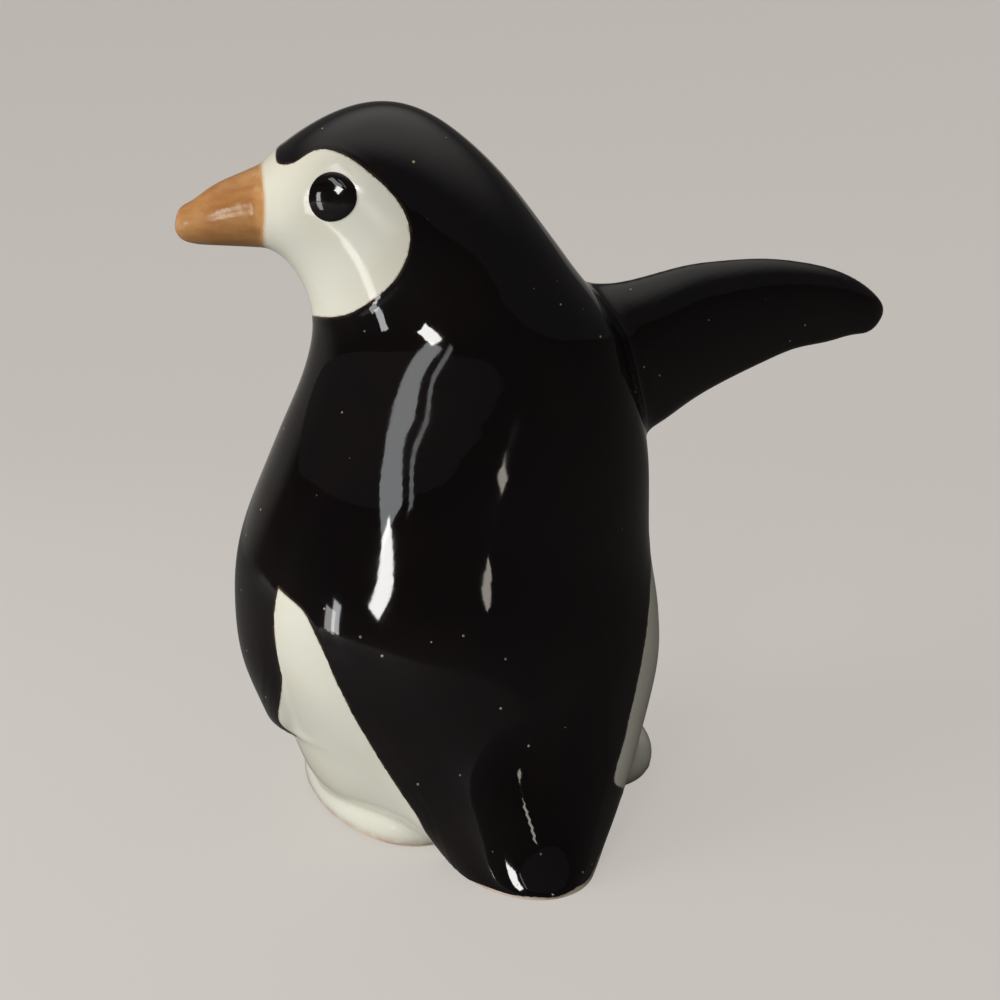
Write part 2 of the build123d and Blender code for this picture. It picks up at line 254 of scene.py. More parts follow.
# Lamps: name, lower and upper end as degrees round, height and distance, then width, brightness, colour
LAMPS = [
    ("key_low", (47, 0.090, 0.30), (54, 0.138, 0.30), 0.034, 22.0, (1.0, 0.99, 0.97)),
    ("key_high", (53, 0.144, 0.30), (40, 0.250, 0.30), 0.046, 4.0, (0.96, 0.98, 1.0)),
    ("key_side", (61, 0.150, 0.30), (54, 0.240, 0.30), 0.010, 2.5, (0.96, 0.98, 1.0)),
    ("neck_card", (22, 0.004, 0.30), (25, 0.080, 0.30), 0.026, 9.0, (0.97, 0.98, 1.0)),
    ("face_card", (20, 0.014, 0.115), (22, 0.036, 0.115), 0.013, 6.0, (1.0, 0.99, 0.96)),
    ("side_spot", (98, 0.126, 0.30), (101, 0.108, 0.30), 0.013, 6.0, (1.0, 0.93, 0.82)),
    ("soft_key", (0, 0.020, 0.32), (0, 0.200, 0.30), 0.200, 6.0, (1.0, 0.99, 0.96)),
]
UNREFLECTED = ("soft_key",)
LAMP_AIM = (0.0, 0.0, 0.035)

BEAK_WAY = np.array([sin(HEAD_TURN), -cos(HEAD_TURN), 0.0])
NAPE_WAY = -BEAK_WAY
ACROSS_WAY = np.cross(NAPE_WAY, UP)
WING_WAY = np.array([-cos(WING_SWEEP), sin(WING_SWEEP), 0.0])
NECK_MIDDLE = np.array([BODY_SHARES[-1][1] * BODY_WIDTH, BODY_SHARES[-1][2] * BODY_DEPTH, NECK_HEIGHT])
HEAD_REACH = NECK_WIDTH / (1 - THROAT_SHARE)
PIVOT = NECK_MIDDLE + BEAK_WAY * (HEAD_REACH * (1 + THROAT_SHARE) / 2)


def curve_columns(rows, at, count_of_places=800):
    """Each column of rows after the first, as a natural cubic curve over the first, at the places given."""
    table = np.array(rows, float)
    places, values = table[:, 0], table[:, 1:]
    gaps = np.diff(places)
    count = len(places)
    system, right = np.eye(count), np.zeros_like(values)
    for i in range(1, count - 1):
        system[i, i - 1:i + 2] = gaps[i - 1], 2 * (gaps[i - 1] + gaps[i]), gaps[i]
        right[i] = 6 * ((values[i + 1] - values[i]) / gaps[i] - (values[i] - values[i - 1]) / gaps[i - 1])
    bends = np.linalg.solve(system, right)
    fine = np.linspace(places[0], places[-1], count_of_places)
    left = np.clip(np.searchsorted(places, fine, side="right") - 1, 0, count - 2)
    span = gaps[left]
    after, before = fine - places[left], places[left + 1] - fine
    columns = []
    for column in range(values.shape[1]):
        low, high = values[left, column], values[left + 1, column]
        bend_low, bend_high = bends[left, column], bends[left + 1, column]
        line = (bend_low * before ** 3 + bend_high * after ** 3) / (6 * span)
        line += (low / span - bend_low * span / 6) * before + (high / span - bend_high * span / 6) * after
        columns.append(np.interp(at, fine, line))
    return columns


class Grid:
    """A block of evenly spaced points round the figurine, in millimetres."""

    def __init__(self, low, high, step):
        self.step = step
        self.low = np.array(low, float)
        self.counts = np.ceil((np.array(high, float) - self.low) / step).astype(int) + 1
        axes = [self.low[i] + step * np.arange(self.counts[i]) for i in range(3)]
        self.x = axes[0][:, None, None]
        self.y = axes[1][None, :, None]
        self.z = axes[2][None, None, :]

    def along(self, way, start):
        """Each point's way along a direction from a start."""
        return (self.x - start[0]) * way[0] + (self.y - start[1]) * way[1] + (self.z - start[2]) * way[2]

    def as_distance(self, values):
        """The same surface with values that are close to distances from it."""
        slopes = np.gradient(values, self.step)
        steepness = np.sqrt(sum(slope * slope for slope in slopes))
        return values / np.clip(steepness, 0.02, 4.0)

    def sample(self, values, points):
        """Values at any points, between the grid's own."""
        place = np.clip((points - self.low) / self.step, 0, self.counts - 1.001)
        corner = place.astype(int)
        share = place - corner
        total = 0
        for dx in (0, 1):
            for dy in (0, 1):
                for dz in (0, 1):
                    weight = 1
                    for axis, d in enumerate((dx, dy, dz)):
                        weight = weight * (share[:, axis] if d else 1 - share[:, axis])
                    total = total + weight * values[corner[:, 0] + dx, corner[:, 1] + dy, corner[:, 2] + dz]
        return total


def oval(across, deep, half_across, half_deep):
    """0 on an oval, below 0 inside it."""
    return np.sqrt((across / half_across) ** 2 + (deep / half_deep) ** 2) - 1


def body_values(grid):
    """Body up to the neck, then the head round the throat, then the beak."""
    shift_x, shift_y, width, depth, twist = curve_columns(BODY_SHARES, grid.z / NECK_HEIGHT)
    turn = -twist * (pi / 2 - HEAD_TURN)
    off_x, off_y = grid.x - shift_x * BODY_WIDTH, grid.y - shift_y * BODY_DEPTH
    across = off_x * np.cos(turn) + off_y * np.sin(turn)
    deep = off_y * np.cos(turn) - off_x * np.sin(turn)
    values = oval(across, deep, width * BODY_WIDTH / 2, depth * BODY_DEPTH / 2)

    top = slice(int((NECK_HEIGHT - grid.low[2]) / grid.step), None)
    rise = grid.z[:, :, top] - PIVOT[2]
    nape = (grid.along(NAPE_WAY, PIVOT) + 0 * grid.z)[:, :, top]
    across = (grid.along(ACROSS_WAY, PIVOT) + 0 * grid.z)[:, :, top]
    turned = np.arctan2(rise, nape) / (pi / 2)
    inner, outer, depth = curve_columns(HEAD_SHARES, turned)
    reach = np.sqrt(rise ** 2 + nape ** 2) - (inner + outer) / 2 * HEAD_REACH
    head = oval(reach, across, (outer - inner) / 2 * HEAD_REACH, depth * NECK_DEPTH / 2)

    root_low, root_high, root_depth = HEAD_SHARES[-1][1:]
    root_height = (root_high - root_low) * HEAD_REACH
    lower, upper, depth = curve_columns(BEAK_SHARES, -nape / BEAK_LENGTH)
    level = rise - root_low * HEAD_REACH - (lower + upper) / 2 * root_height
    beak = oval(level, across, (upper - lower) / 2 * root_height, depth * root_depth * NECK_DEPTH / 2)
    beak = np.maximum(beak, (-nape - BEAK_LENGTH) / BEAK_TIP)
    above = np.where(nape > 0, head, beak)
    values[:, :, top] = np.where(rise > 0, above, values[:, :, top])
    return grid.as_distance(values)


def tail_values(grid):
    """The tail wedge."""
    shift_x, shift_y, width, depth = curve_columns(TAIL_SHARES, grid.z / TAIL_HEIGHT)
    across, deep = grid.x - shift_x * TAIL_WIDTH, grid.y - shift_y * TAIL_SETBACK
    values = grid.as_distance(oval(across, deep, width * TAIL_WIDTH / 2, depth * TAIL_DEPTH / 2))
    return np.maximum(values, grid.z - TAIL_HEIGHT * TAIL_SHARES[-1][0])


def wing_values(grid):
    """The raised right flipper."""
    along = grid.along(WING_WAY, (0, 0, 0))
    drop, height, thickness = curve_columns(WING_SHARES, along / WING_REACH)
    level = grid.z - WING_LEVEL + (drop + height / 2) * WING_HEIGHT
    side = grid.along(np.cross(UP, WING_WAY), (0, 0, 0))
    values = oval(level, side, height * WING_HEIGHT / 2, thickness * WING_THICKNESS / 2)
    values = grid.as_distance(values)
    start = WING_SHARES[0][0] * WING_REACH
    return np.maximum(np.maximum(values, along - WING_REACH), start - along)


def arm_values(grid):
    """The lowered left flipper."""
    down = (ARM_TOP - grid.z) / ARM_DROP
    out, back, width, thickness = curve_columns(ARM_SHARES, down)
    values = oval(grid.x - out * ARM_OUT, grid.y - back * ARM_WIDTH, thickness * ARM_THICKNESS / 2,
                  width * ARM_WIDTH / 2)
    values = grid.as_distance(values)
    return np.maximum(np.maximum(values, ARM_TOP - ARM_DROP - grid.z), grid.z - ARM_TOP)


def foot_values(grid, foot):
    """A low oval pad with a rounded upper edge."""
    middle_x, middle_y, width, length = foot
    side = grid.as_distance(oval(grid.x - middle_x, grid.y - middle_y, width / 2, length / 2) + 0 * grid.z)
    side = side + FOOT_ROUND
    top = grid.z - FOOT_HEIGHT + FOOT_ROUND
    round_part = np.sqrt(np.maximum(side, 0) ** 2 + np.maximum(top, 0) ** 2)
    return round_part + np.minimum(np.maximum(side, top), 0) - FOOT_ROUND


def smooth(share):
    """A share held between 0 and 1, with soft ends."""
    share = np.clip(share, 0, 1)
    return share * share * (3 - 2 * share)


def ramp(values, start, end):
    """0 up to the start, 1 from the end on, and softly between."""
    return smooth((values - start) / (end - start))


def joined(first, second, fillet):
    """Both surfaces as one, with a fillet where they meet."""
    near = np.maximum(fillet - np.abs(first - second), 0)
    return np.minimum(first, second) - near ** 2 / (4 * fillet)


def softened(values, spread):
    """The values blurred a little, which rounds every edge."""
    reach = int(np.ceil(2.5 * spread))
    shares = np.exp(-0.5 * (np.arange(-reach, reach + 1) / spread) ** 2)
    shares /= shares.sum()
    for axis in range(3):
        padded = np.pad(values, [(reach, reach) if i == axis else (0, 0) for i in range(3)], mode="edge")
        total = 0
        for i, share in enumerate(shares):
            window = [slice(None)] * 3
            window[axis] = slice(i, i + values.shape[axis])
            total = total + share * padded[tuple(window)]
        values = total
    return values


def neck_smoothed(grid, values, spread):
    """Rounds the crease between body and head, without touching the flippers."""
    middle = NECK_HEIGHT - grid.low[2]
    low, high = (int((middle + reach) / grid.step) for reach in (-NECK_WINDOW, NECK_WINDOW))
    window = values[:, :, low:high]
    off = np.abs(grid.z[:, :, low:high] - NECK_HEIGHT - NECK_SMOOTH_RISE)
    share = ramp(off, NECK_SMOOTH_END, NECK_SMOOTH_FULL) * ramp(grid.x, *NECK_SMOOTH_SIDE)
    values[:, :, low:high] = window + share * (softened(window, spread / grid.step) - window)


def back_smoothed(grid, values, spread):
    """Evens the back where the tail grows out of it, and makes up what the smoothing takes off."""
    low, high = (int((height - grid.low[2]) / grid.step) for height in BACK_WINDOW)
    window = values[:, :, low:high]
    level = grid.z[:, :, low:high]
    share = ramp(level, *BACK_LOW_END) * ramp(level, *BACK_HIGH_END) * ramp(grid.y, *BACK_FRONT)
    values[:, :, low:high] = window + share * (softened(window, spread / grid.step) - BACK_MAKE_UP - window)


def net_of(grid, values):
    """Points and four-sided faces of the surface where the values are 0."""
    inside = values < 0
    cells = tuple(grid.counts - 1)
    seen = np.zeros(cells, int)
    for dx in (0, 1):
        for dy in (0, 1):
            for dz in (0, 1):
                seen += inside[dx:cells[0] + dx, dy:cells[1] + dy, dz:cells[2] + dz]
    active = (seen > 0) & (seen < 8)
    index = np.full(cells, -1)
    index[active] = np.arange(active.sum())
    corners = np.argwhere(active)
    total, hits = np.zeros(corners.shape), np.zeros(len(corners))
    for axis in range(3):
        others = [i for i in range(3) if i != axis]
        for first in (0, 1):
            for second in (0, 1):
                start = corners.copy()
                start[:, others[0]] += first
                start[:, others[1]] += second
                end = start.copy()
                end[:, axis] += 1
                low, high = values[tuple(start.T)], values[tuple(end.T)]
                crosses = (low < 0) != (high < 0)
                share = np.where(crosses, low / np.where(crosses, low - high, 1), 0)
                place = start.astype(float)
                place[:, axis] += share
                total += place * crosses[:, None]
                hits += crosses
    points = grid.low + grid.step * total / hits[:, None]
    faces = []
    for axis in range(3):
        a, b = [(1, 2), (2, 0), (0, 1)][axis]
        window = [slice(1, -1)] * 3
        window[axis] = slice(None, -1)
        shifted = [slice(1, -1)] * 3
        shifted[axis] = slice(1, None)
        start, end = inside[tuple(window)], inside[tuple(shifted)]
        for entering in (True, False):
            place = np.argwhere((start == entering) & (end != entering))
            place[:, a] += 1
            place[:, b] += 1
            ring = []
            for step_a, step_b in ((-1, -1), (0, -1), (0, 0), (-1, 0)):
                cell = place.copy()
                cell[:, a] += step_a
                cell[:, b] += step_b
                ring.append(index[tuple(cell.T)])
            ring = np.stack(ring if entering else ring[::-1], 1)
            faces.append(ring)
    return points, np.concatenate(faces)


class Skin:
    """The glazed surface as triangles that can be divided along lines drawn on it."""

    def __init__(self, grid, values, rounds=4):
        self.grid, self.values = grid, values
        self.slopes = np.gradient(values, grid.step)
        points, quads = net_of(grid, values)
        edges = np.concatenate([quads[:, [i, (i + 1) % 4]] for i in range(4)])
        for _ in range(rounds):
            total, hits = np.zeros(points.shape), np.zeros(len(points))
            np.add.at(total, edges[:, 0], points[edges[:, 1]])
            np.add.at(hits, edges[:, 0], 1)
            points = self.settled(0.5 * points + 0.5 * total / np.maximum(hits, 1)[:, None])
        self.points = points
        self.faces = np.concatenate([quads[:, [0, 1, 2]], quads[:, [0, 2, 3]]])
        self.zone = np.zeros(len(self.faces), int)

    def slope(self, points):
        """How the values change round each point."""
        return np.stack([self.grid.sample(part, points) for part in self.slopes], 1)

    def settled(self, points, level=0.0):
        """The points moved onto the surface, or onto one drawn in or out from it."""
        for _ in range(2):
            slope = self.slope(points)
            off = self.grid.sample(self.values, points) - level
            points = points - slope * (off / np.maximum((slope ** 2).sum(1), 1e-6))[:, None]
        return points

    def normals(self, points):
        """The way out of the surface at each point."""
        slope = self.slope(points)
        return slope / np.maximum(np.linalg.norm(slope, axis=1), 1e-9)[:, None]

    def divide(self, zone, values, new_zone, snap=0.04):
        """Faces of a zone where the values are below 0 get the new zone, divided along the line of 0."""
        values = np.where(np.abs(values) < snap, 0, values)
        side = np.sign(values).astype(int)
        own = np.flatnonzero(self.zone == zone)
        sides = side[self.faces[own]]
        crossed = own[(sides.min(1) < 0) & (sides.max(1) > 0)]
        below = own[(sides.max(1) <= 0) & (sides.min(1) < 0)]
        self.zone[below] = new_zone
        cuts, made, faces, zones = {}, [], [], []

        def cut(a, b):
            """The point where the line crosses an edge, made once."""
            key = (min(a, b), max(a, b))
            if key not in cuts:
                share = values[a] / (values[a] - values[b])
                cuts[key] = len(self.points) + len(made)
                made.append(self.points[a] * (1 - share) + self.points[b] * share)
            return cuts[key]

        for face in crossed:
            ring = list(self.faces[face])
            upper, lower = [], []
            for i in range(3):
                here, after = ring[i], ring[(i + 1) % 3]
                if side[here] >= 0:
                    upper.append(here)
                if side[here] <= 0:
                    lower.append(here)
                if side[here] * side[after] < 0:
                    between = cut(here, after)
                    upper.append(between)
                    lower.append(between)
            for part, part_zone in ((upper, zone), (lower, new_zone)):
                for i in range(1, len(part) - 1):
                    faces.append((part[0], part[i], part[i + 1]))
                    zones.append(part_zone)
        if faces:
            kept = np.ones(len(self.faces), bool)
            kept[crossed] = False
            self.points = np.concatenate([self.points, np.array(made)])
            self.faces = np.concatenate([self.faces[kept], np.array(faces)])
            self.zone = np.concatenate([self.zone[kept], np.array(zones)])


def figurine_skin(form):
    """The skin of the whole figurine and each form's own values."""
    step = form.mesh_step / MM * 1
    grid = Grid(GRID_LOW, GRID_HIGH, step)
    core = body_values(grid)
    tail = tail_values(grid)
    wing, arm = wing_values(grid), arm_values(grid)
    feet = [foot_values(grid, foot) for foot in (LEFT_FOOT, RIGHT_FOOT)]
    wide = ramp(grid.x, *WIDE_ACROSS) * ramp(grid.z, *WIDE_UP)
    fading = TAIL_FADE_DEPTH * ramp(grid.z, *TAIL_FADE)
    trunk = joined(core, tail + fading, form.tail_fillet / MM + wide * form.back_fillet / MM)
    back_smoothed(grid, trunk, form.back_softening / MM)
    whole = joined(trunk, wing, form.wing_fillet / MM)
    whole = joined(whole, arm, form.arm_fillet / MM)
    for foot in feet:
        whole = joined(whole, foot, form.foot_fillet / MM)
    whole = softened(whole, form.soften / MM / step)
    neck_smoothed(grid, whole, form.neck_softening / MM)
    for place, reach, push in THICKENED:
        off = (grid.x - place[0]) ** 2 + (grid.y - place[1]) ** 2 + (grid.z - place[2]) ** 2
        whole -= push * np.exp(-off / reach ** 2)
    skin = Skin(grid, whole)
    skin.parts = {"trunk": trunk, "wing": wing, "arm": arm, "left_foot": feet[0], "right_foot": feet[1]}
    return skin


def fine_curve(rows, count=400, reach=9, blur=4.0):
    """Many points of a smooth curve along rows of two values that never overshoots them."""
    table = np.array(rows, float)
    at = np.linspace(table[0, 0], table[-1, 0], count)
    line = np.interp(at, table[:, 0], table[:, 1])
    shares = np.exp(-0.5 * (np.arange(-reach, reach + 1) / blur) ** 2)
    padded = np.pad(line, reach, mode="reflect", reflect_type="odd")
    return np.column_stack([at, np.convolve(padded, shares / shares.sum(), mode="valid")])


def curve_distance(rows, points, count=240):
    """Signed distance of points in a plane from a closed curve through rows, below 0 inside it."""
    table = np.array(rows + rows[:1], float)
    spacing = np.linalg.norm(np.diff(table, axis=0), axis=1)
    places = np.concatenate([[0], np.cumsum(spacing)])
    at = np.linspace(0, places[-1], count)
    line = np.stack(curve_columns(np.column_stack([places, table]), at), 1)
    nearest = np.full(len(points), np.inf)
    inside = np.zeros(len(points), bool)
    for start, end in zip(line[:-1], line[1:]):
        way = end - start
        share = np.clip((points - start) @ way / max(way @ way, 1e-12), 0, 1)
        nearest = np.minimum(nearest, np.linalg.norm(points - start - share[:, None] * way, axis=1))
        spans = (start[1] > points[:, 1]) != (end[1] > points[:, 1])
        rise = end[1] - start[1]
        crossing = start[0] + (points[:, 1] - start[1]) * way[0] / (rise if abs(rise) > 1e-12 else 1e-12)
        inside ^= spans & (points[:, 0] < crossing)
    return np.where(inside, -nearest, nearest)


def head_side(points):
    """Places on the head seen square from its side: towards the nape and up from the throat."""
    off = points - PIVOT
    return np.stack([off @ NAPE_WAY, off[:, 2]], 1)


def divide_skin(skin, form):
    """The skin's faces divided into the coats of glaze."""
    def own(name):
        """One form's own values at the skin's points."""
        return skin.grid.sample(skin.parts[name], skin.points)

    trunk = ZONES["back_coat"]
    height = skin.points[:, 2] - form.bare_rim / MM
    ring = np.arctan2(skin.points[:, 1], skin.points[:, 0])
    height += RIM_WAVE * sum(share * np.sin(ring * waves + start) for waves, start, share in RIM_WAVES)
    skin.divide(trunk, height, DROPPED)
    skin.divide(trunk, own("wing") - own("trunk"), ZONES["right_flipper_coat"])
    back_reach = FLIPPER_EDGE_REACH * np.clip(skin.points[:, 1], 0, 1)
    flipper_back = skin.points[:, 1] - np.interp(skin.points[:, 2], *np.transpose(fine_curve(FLIPPER_EDGE)))
    flipper = np.maximum(own("arm") - own("trunk") - back_reach, flipper_back)
    skin.divide(trunk, flipper, ZONES["left_flipper_coat"])
    skin.divide(trunk, own("left_foot") - own("trunk"), ZONES["left_foot_coat"])
    skin.divide(trunk, own("right_foot") - own("trunk"), ZONES["right_foot_coat"])
    skin.divide(trunk, NECK_HEIGHT - skin.points[:, 2], ZONES["hood_coat"])
    beak = head_side(skin.points)[:, 0] + beak_bow(skin.points)
    skin.divide(ZONES["hood_coat"], beak, ZONES["beak_coat"])
    face = curve_distance(FACE_EDGE_SHARES, head_side(skin.points) / HEAD_REACH) * HEAD_REACH
    skin.divide(ZONES["hood_coat"], face, ZONES["face_coat"])
    left, right = (np.interp(skin.points[:, 2], *np.transpose(fine_curve(rows)))
                   for rows in (LEFT_BACK_EDGE, RIGHT_BACK_EDGE))
    share = np.clip(skin.points[:, 0] / EDGES_MEET / 2 + 0.5, 0, 1)
    skin.divide(trunk, skin.points[:, 1] - left * share - right * (1 - share), ZONES["belly_coat"])


def beak_bow(points):
    """How far the edge of the orange bows towards the face."""
    level = (points[:, 2] - PIVOT[2] - HEAD_REACH * BEAK_MIDDLE_SHARE) / HEAD_REACH
    return -BEAK_BOW * (1 - (level / BEAK_BOW_SHARE) ** 2)


def normals_of(points, faces, count):
    """Vertex normals of a triangle mesh, weighted by the faces' areas."""
    a, b, c = (points[faces[:, i]] for i in range(3))
    flat = np.cross(b - a, c - a)
    total = np.zeros((count, 3))
    for i in range(3):
        np.add.at(total, faces[:, i], flat)
    return total / np.maximum(np.linalg.norm(total, axis=1), 1e-12)[:, None]


def edge_points(skin, first, second):
    """Middles of the edges where faces of one family of coats meet faces of another."""
    sides = {}
    for family, zones in ((1, first), (2, second)):
        faces = skin.faces[np.isin(skin.zone, [ZONES[name] for name in zones])]
        pairs = np.sort(np.concatenate([faces[:, [i, (i + 1) % 3]] for i in range(3)]), axis=1)
        sides[family] = {tuple(pair) for pair in pairs.tolist()}
    shared = np.array(sorted(sides[1] & sides[2]))
    return (skin.points[shared[:, 0]] + skin.points[shared[:, 1]]) / 2


def distances(points, places):
    """Each point's distance to the nearest of some places."""
    tree = KDTree(len(places))
    for i, place in enumerate(places):
        tree.insert(place, i)
    tree.balance()
    return np.array([tree.find(point)[2] for point in points])


def shell_mesh(name, points, faces, normals, depth, attributes):
    """A closed shell: the faces, the same faces a glaze's thickness further in, and a rim between them."""
    used, faces = np.unique(faces, return_inverse=True)
    faces = faces.reshape(-1, 3)
    outer, normal = points[used], normals[used]
    inner = outer - normal * depth
    count = len(used)
    pairs = np.concatenate([faces[:, [i, (i + 1) % 3]] for i in range(3)])
    known = {tuple(pair) for pair in pairs.tolist()}
    rim = np.array([(b, a, a + count, b + count) for a, b in known if (b, a) not in known])
    rim_points = np.concatenate([outer, inner])[rim]
    rim_flat = np.cross(rim_points[:, 1] - rim_points[:, 0], rim_points[:, 3] - rim_points[:, 0])
    rim_flat /= np.maximum(np.linalg.norm(rim_flat, axis=1), 1e-12)[:, None]
    mesh = bpy.data.meshes.new(name)
    polygons = faces.tolist() + (faces[:, ::-1] + count).tolist() + rim.tolist()
    mesh.from_pydata((np.concatenate([outer, inner]) * MM).tolist(), [], polygons)
    for key, values in attributes.items():
        attribute = mesh.attributes.new(key, "FLOAT", "POINT")
        attribute.data.foreach_set("value", np.tile(values[used], 2).astype(np.float32))
    mesh.polygons.foreach_set("use_smooth", np.ones(len(polygons), bool))
    loops = np.concatenate([
        normal[faces.ravel()], -normal[faces[:, ::-1].ravel()], np.repeat(rim_flat, 4, axis=0)])
    mesh.normals_split_custom_set(loops.tolist())
    return mesh


def add_piece(name, mesh, material, slot, *nodes):
    """A finished piece of the figurine."""
    piece = bpy.data.objects.new(name, mesh)
    bpy.context.scene.collection.objects.link(piece)
    piece.data.materials.clear()
    piece.data.materials.append(material)
    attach(piece, "root")
    if nodes:
        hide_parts(*nodes)
    return piece


def new_material(name, colour, roughness, **sockets):
    """A material with a Principled shader, its node tree and that shader."""
    material = bpy.data.materials.new(name)
    material.use_nodes = True
    tree = material.node_tree
    shader = tree.nodes["Principled BSDF"]
    shader.inputs["Base Color"].default_value = (*colour, 1)
    shader.inputs["Roughness"].default_value = roughness
    for socket, value in sockets.items():
        shader.inputs[socket.replace("_", " ")].default_value = value
    material.diffuse_color = (*colour, 1)
    return material, tree, shader


def add_node(tree, kind, links=(), **settings):
    """A node with its settings, and its inputs set to values or linked to sockets."""
    node = tree.nodes.new(kind)
    for key, value in settings.items():
        setattr(node, key, value)
    for socket, value in dict(links).items():
        if isinstance(value, bpy.types.NodeSocket):
            tree.links.new(value, node.inputs[socket])
        else:
            node.inputs[socket].default_value = value
    return node


def noise(tree, size, detail=3.0, roughness=0.5, stretch=(1, 1, 1)):
    """Noise on object coordinates with features of a size in metres."""
    place = add_node(tree, "ShaderNodeTexCoord").outputs["Object"]
    mapping = add_node(tree, "ShaderNodeMapping", {"Vector": place, "Scale": stretch})
    node = add_node(tree, "ShaderNodeTexNoise", {
        "Vector": mapping.outputs["Vector"], "Scale": 1 / size, "Detail": detail, "Roughness": roughness})
    return node.outputs["Fac"]


def spread(tree, value, low, high, to_low=0.0, to_high=1.0):
    """A value's range from low to high, stretched to another range and held there."""
    node = add_node(tree, "ShaderNodeMapRange", {
        "Value": value, "From Min": low, "From Max": high, "To Min": to_low, "To Max": to_high},
        interpolation_type="SMOOTHSTEP")
    return node.outputs["Result"]


def blend(tree, share, first, second):
    """A colour between two, by a share."""
    node = add_node(tree, "ShaderNodeMix", {"Factor": share}, data_type="RGBA")
    for socket, value in (("A_Color", first), ("B_Color", second)):
        target = next(i for i in node.inputs if i.identifier == socket)
        if isinstance(value, bpy.types.NodeSocket):
            tree.links.new(value, target)
        else:
            target.default_value = (*value, 1)
    return next(o for o in node.outputs if o.identifier == "Result_Color")


def stored(tree, name):
    """A value stored on the mesh's points."""
    return add_node(tree, "ShaderNodeAttribute", attribute_name=name).outputs["Fac"]


def calculate(tree, operation, first, second):
    """Two values put together."""
    node = add_node(tree, "ShaderNodeMath", {0: first, 1: second}, operation=operation)
    return node.outputs["Value"]


def uneven(tree, shader, parts):
    """Bumps of several sizes in metres, each with its height, on a shader."""
    normal = None
    for value, height in parts:
        links = {"Height": value, "Strength": 1.0, "Distance": height}
        if normal:
            links["Normal"] = normal
        normal = add_node(tree, "ShaderNodeBump", links).outputs["Normal"]
    tree.links.new(normal, shader.inputs["Normal"])


def black_glaze(colours):
    """Deep black, brown where it thins at its edges, with a slight brushed unevenness."""
    material, tree, shader = new_material("black_glaze", colours.black, 0.05, IOR=1.5)
    thin = spread(tree, stored(tree, "edge"), 0.0, 0.34, 1.0, 0.0)
    patchy = calculate(tree, "MULTIPLY", thin, spread(tree, noise(tree, 0.0012), 0.35, 0.6, 0.3, 1.0))
    warm = spread(tree, noise(tree, 0.006, 4), 0.45, 0.75, 0.0, 0.5)
    body = blend(tree, warm, colours.black, colours.warm_black)
    tree.links.new(blend(tree, patchy, body, colours.thin_black), shader.inputs["Base Color"])
    tree.links.new(spread(tree, noise(tree, 0.004, 5), 0.3, 0.8, 0.03, 0.075), shader.inputs["Roughness"])
    uneven(tree, shader, [(noise(tree, 0.0045, 2), 0.000006), (noise(tree, 0.0012, 3), 0.000001)])
    return material


def white_glaze(colours):
    """Cream white, a little uneven, tinted next to the other glazes, with clay showing at the base."""
    material, tree, shader = new_material("white_glaze", colours.cream, 0.14, IOR=1.5)
    cloudy = spread(tree, noise(tree, 0.007, 4), 0.35, 0.7)
    body = blend(tree, cloudy, colours.cream, colours.warm_cream)
    ragged = noise(tree, 0.0009, 3)
    orange = spread(tree, stored(tree, "beak_edge"), 0.0, 0.55, 0.75, 0.0)
    orange = calculate(tree, "MULTIPLY", orange, spread(tree, ragged, 0.3, 0.65, 0.55, 1.0))
    body = blend(tree, orange, body, colours.pale_orange)
    dark = spread(tree, stored(tree, "edge"), 0.0, 0.20, 0.7, 0.0)
    dark = calculate(tree, "MULTIPLY", dark, spread(tree, ragged, 0.35, 0.65, 0.4, 1.0))
    body = blend(tree, dark, body, colours.thin_black)
    bare = spread(tree, stored(tree, "rim"), 0.0, 0.8, 0.9, 0.0)
    bare = calculate(tree, "MULTIPLY", bare, spread(tree, noise(tree, 0.0015), 0.3, 0.6, 0.35, 1.0))
    tree.links.new(blend(tree, bare, body, colours.clay), shader.inputs["Base Color"])
    tree.links.new(spread(tree, noise(tree, 0.003, 4), 0.3, 0.8, 0.08, 0.18), shader.inputs["Roughness"])
    uneven(tree, shader, [(noise(tree, 0.004, 2), 0.00002), (noise(tree, 0.0008, 3), 0.000002)])
    return material


def orange_glaze(colours):
    """Orange brown with the streaks of the brush along the beak."""
    material, tree, shader = new_material("orange_glaze", colours.orange, 0.2, IOR=1.5)
    streaks = noise(tree, 0.0022, 5, 0.6, stretch=(0.35, 0.8, 1.6))
    body = blend(tree, spread(tree, streaks, 0.35, 0.68), colours.orange, colours.deep_orange)
    pale = spread(tree, noise(tree, 0.0016, 3), 0.58, 0.75, 0.0, 0.4)
    body = blend(tree, pale, body, colours.pale_orange)
    thin = spread(tree, stored(tree, "beak_edge"), 0.0, 0.5, 0.8, 0.0)
    tree.links.new(blend(tree, thin, body, colours.pale_orange), shader.inputs["Base Color"])
    tree.links.new(spread(tree, noise(tree, 0.002, 4), 0.3, 0.8, 0.12, 0.24), shader.inputs["Roughness"])
    uneven(tree, shader, [(noise(tree, 0.0025, 3), 0.00003), (noise(tree, 0.0005, 3), 0.000003)])
    return material


def pinhole_clay(colours):
    """Clay for the pinholes, much darker than the bare clay, with an uneven tone."""
    material, tree, shader = new_material("pinhole_clay", colours.pinhole, 0.5)
    body = blend(tree, spread(tree, noise(tree, 0.004, 2), 0.4, 0.6), colours.pinhole, colours.dark_clay)
    tree.links.new(body, shader.inputs["Base Color"])
    return material


def eye_glaze(colours):
    """The black of the eye dots."""
    material, tree, shader = new_material("eye_glaze", colours.black, 0.06, IOR=1.5)
    body = blend(tree, spread(tree, noise(tree, 0.0012), 0.4, 0.7), colours.black, colours.warm_black)
    tree.links.new(body, shader.inputs["Base Color"])
    uneven(tree, shader, [(noise(tree, 0.0016, 2), 0.00004)])
    return material


